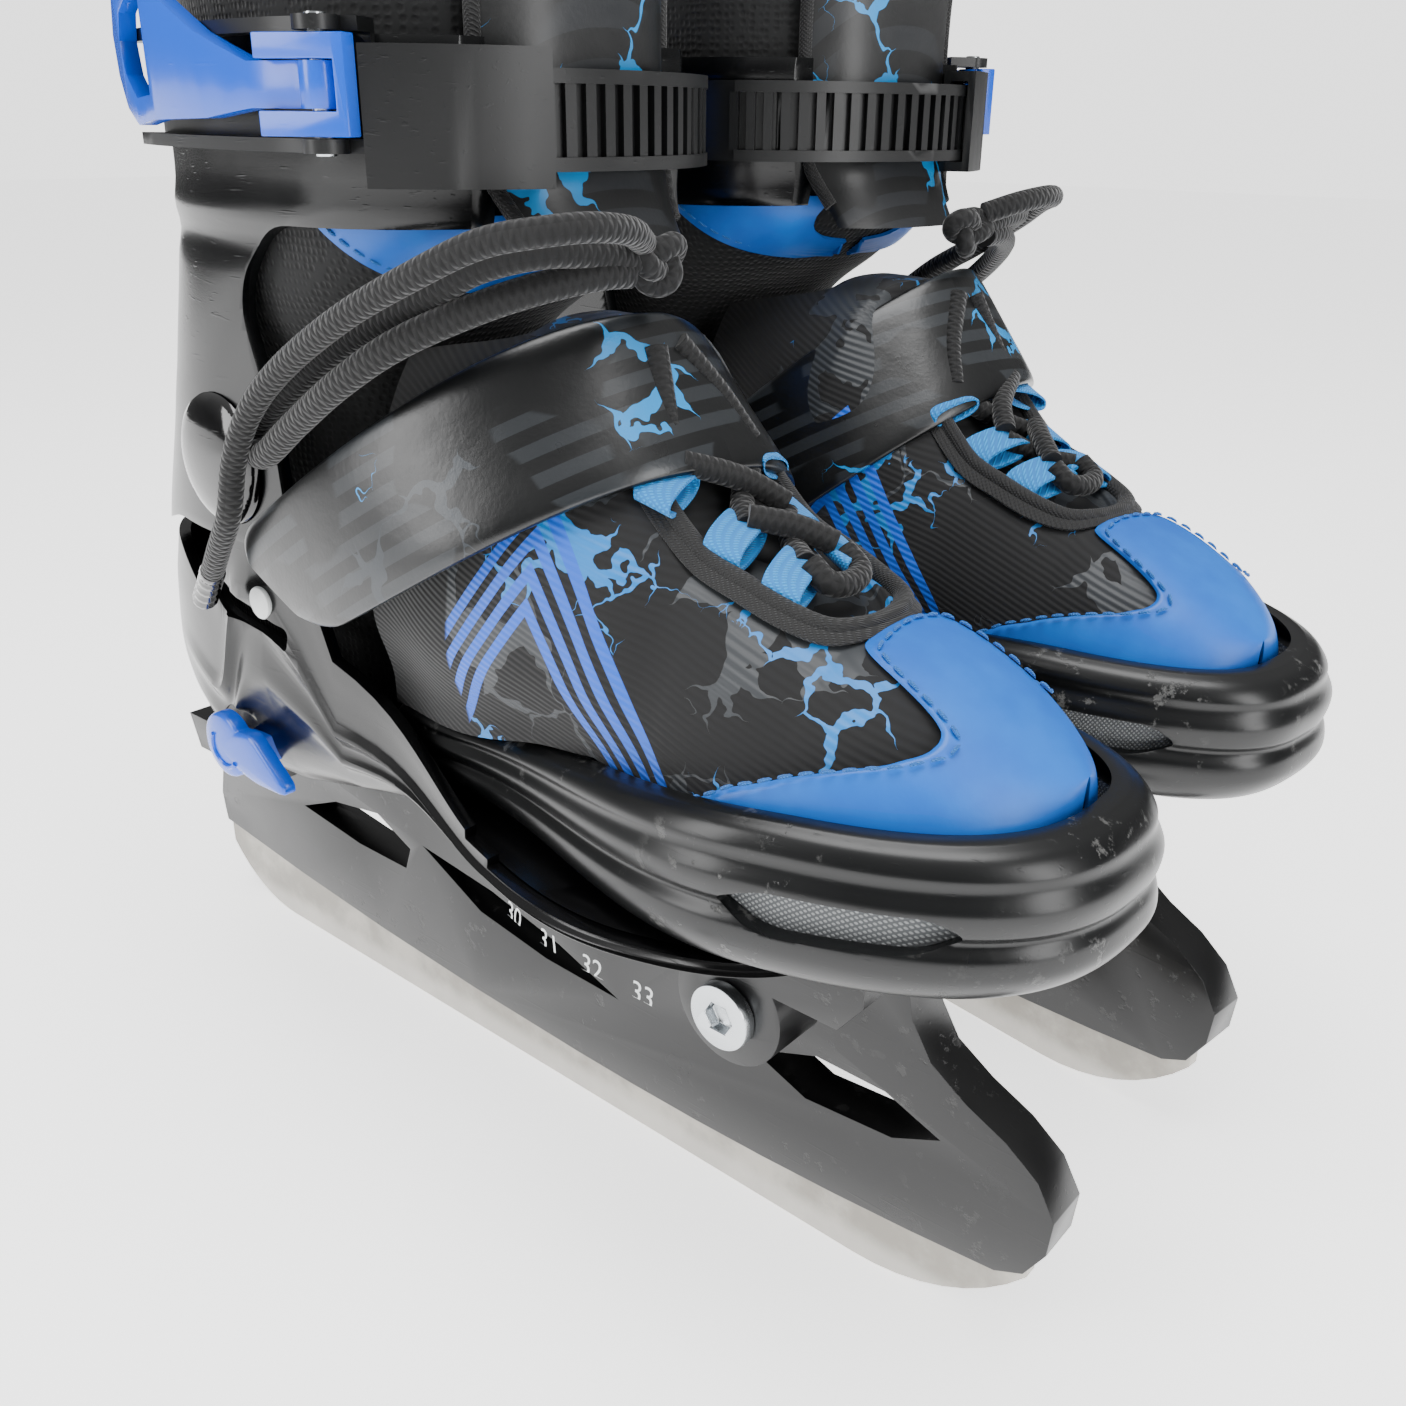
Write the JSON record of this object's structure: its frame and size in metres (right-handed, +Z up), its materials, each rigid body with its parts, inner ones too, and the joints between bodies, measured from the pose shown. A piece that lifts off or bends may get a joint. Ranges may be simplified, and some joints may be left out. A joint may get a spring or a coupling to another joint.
{
  "type": "ice skates",
  "caption": "Pair of size-adjustable ice skates with a laced soft boot, hinged cuff, ratchet buckle and instep strap on a steel runner.",
  "frame": {"origin": "middle of the right skate's ice edge", "axes": "+X to the right skate's toe, -Y to its outer side, +Z up from the ice"},
  "size_m": [0.2414, 0.1807, 0.258],
  "materials": {
    "steel": "ground steel with fine lengthwise marks",
    "holder_black": "moulded nylon, satin",
    "shell_black": "moulded shell, semi-gloss with soft wear",
    "bolt_steel": "zinc-plated steel",
    "spring_steel": "bright steel",
    "blue_plastic": "moulded bright blue plastic",
    "grey_plastic": "plain nylon",
    "black_fabric": "padded knitted cloth",
    "print_fabric": "ribbed cloth printed with grey and blue branching marks",
    "blue_coated": "smooth coated cloth",
    "strap_coated": "coated cloth with stitched edges",
    "blue_webbing": "narrow woven webbing",
    "lace_cord": "round woven lace",
    "grey_mesh": "fine grey mesh",
    "lining": "moulded insole"
  },
  "bodies": {
    "right_base": {"right_runner": "steel", "right_blade_holder": "holder_black", "right_front_bolt": "bolt_steel", "right_bolt_sleeve": "bolt_steel", "right_heel_screw": "bolt_steel", "right_heel_shell": "shell_black", "right_footbed": "lining", "right_boot_quarter": "black_fabric", "right_strap_rivets": "bolt_steel", "right_pivot_bushes": "grey_plastic", "right_lace": "lace_cord"},
    "right_toe": {"right_toe_shell": "shell_black", "right_toe_cap": "blue_coated", "right_vent_mesh": "grey_mesh", "right_vamp": "print_fabric", "right_lace_loops": "blue_webbing", "right_toe_slider": "grey_plastic"},
    "right_button": {"right_size_button": "blue_plastic", "right_button_spring": "spring_steel"},
    "right_strap": {"right_instep_strap": "strap_coated"},
    "right_cuff": {"right_cuff": "shell_black", "right_collar": "black_fabric", "right_ankle_rivets": "shell_black", "right_tongue": "print_fabric", "right_buckle_base": "holder_black", "right_buckle_pin": "spring_steel", "right_ladder_strap": "holder_black", "right_ladder_anchor": "blue_plastic"},
    "right_lever": {"right_buckle_lever": "blue_plastic"},
    "right_pawl": {"right_buckle_pawl": "blue_plastic"},
    "left_base": {"left_runner": "steel", "left_blade_holder": "holder_black", "left_front_bolt": "bolt_steel", "left_bolt_sleeve": "bolt_steel", "left_heel_screw": "bolt_steel", "left_heel_shell": "shell_black", "left_footbed": "lining", "left_boot_quarter": "black_fabric", "left_strap_rivets": "bolt_steel", "left_pivot_bushes": "grey_plastic", "left_lace": "lace_cord"},
    "left_toe": {"left_toe_shell": "shell_black", "left_toe_cap": "blue_coated", "left_vent_mesh": "grey_mesh", "left_vamp": "print_fabric", "left_lace_loops": "blue_webbing", "left_toe_slider": "grey_plastic"},
    "left_button": {"left_size_button": "blue_plastic", "left_button_spring": "spring_steel"},
    "left_strap": {"left_instep_strap": "strap_coated"},
    "left_cuff": {"left_cuff": "shell_black", "left_collar": "black_fabric", "left_ankle_rivets": "shell_black", "left_tongue": "print_fabric", "left_buckle_base": "holder_black", "left_buckle_pin": "spring_steel", "left_ladder_strap": "holder_black", "left_ladder_anchor": "blue_plastic"},
    "left_lever": {"left_buckle_lever": "blue_plastic"},
    "left_pawl": {"left_buckle_pawl": "blue_plastic"}
  },
  "joints": [
    {"name": "left_skate_lift", "type": "slide", "parent": "right_base", "child": "left_base", "axis": [0, 0, 1], "range_m": [0, 0.3]},
    {"name": "right_toe_size", "type": "slide", "parent": "right_base", "child": "right_toe", "axis": [1, 0, 0], "range_m": [-0.02, 0]},
    {"name": "right_button_press", "type": "slide", "parent": "right_base", "child": "right_button", "axis": [0, 1, 0], "range_m": [0, 0.0025], "stiffness_N_per_m": 400, "springref_m": -0.001},
    {"name": "right_strap_flap", "type": "hinge", "parent": "right_base", "child": "right_strap", "pos_m": [0.042, -0.002, 0.152], "axis": [-0.5633, 0, 0.8262], "range_deg": [0, 110]},
    {"name": "right_cuff_flex", "type": "hinge", "parent": "right_base", "child": "right_cuff", "pos_m": [-0.043, 0, 0.133], "axis": [0, 1, 0], "range_deg": [-3, 5]},
    {"name": "right_buckle_lever", "type": "hinge", "parent": "right_cuff", "child": "right_lever", "pos_m": [0.0054, -0.04089, 0.194], "axis": [0, 0, 1], "range_deg": [0, 75]},
    {"name": "right_buckle_release", "type": "hinge", "parent": "right_cuff", "child": "right_pawl", "pos_m": [0.0054, -0.04089, 0.194], "axis": [0, 0, -1], "range_deg": [0, 12], "stiffness_Nm_per_rad": 0.05, "springref_deg": -2.86},
    {"name": "left_toe_size", "type": "slide", "parent": "left_base", "child": "left_toe", "axis": [0.9903, -0.1392, 0], "range_m": [-0.02, 0]},
    {"name": "left_button_press", "type": "slide", "parent": "left_base", "child": "left_button", "axis": [-0.1392, -0.9903, 0], "range_m": [0, 0.0025], "stiffness_N_per_m": 400, "springref_m": -0.001},
    {"name": "left_strap_flap", "type": "hinge", "parent": "left_base", "child": "left_strap", "pos_m": [0.04187, 0.08213, 0.152], "axis": [0.5579, -0.0784, -0.8262], "range_deg": [0, 110]},
    {"name": "left_cuff_flex", "type": "hinge", "parent": "left_base", "child": "left_cuff", "pos_m": [-0.04258, 0.09198, 0.133], "axis": [0.1392, 0.9903, 0], "range_deg": [-3, 5]},
    {"name": "left_buckle_lever", "type": "hinge", "parent": "left_cuff", "child": "left_lever", "pos_m": [0.01104, 0.12574, 0.194], "axis": [0, 0, -1], "range_deg": [0, 75]},
    {"name": "left_buckle_release", "type": "hinge", "parent": "left_cuff", "child": "left_pawl", "pos_m": [0.01104, 0.12574, 0.194], "axis": [0, 0, 1], "range_deg": [0, 12], "stiffness_Nm_per_rad": 0.05, "springref_deg": -2.86}
  ]
}
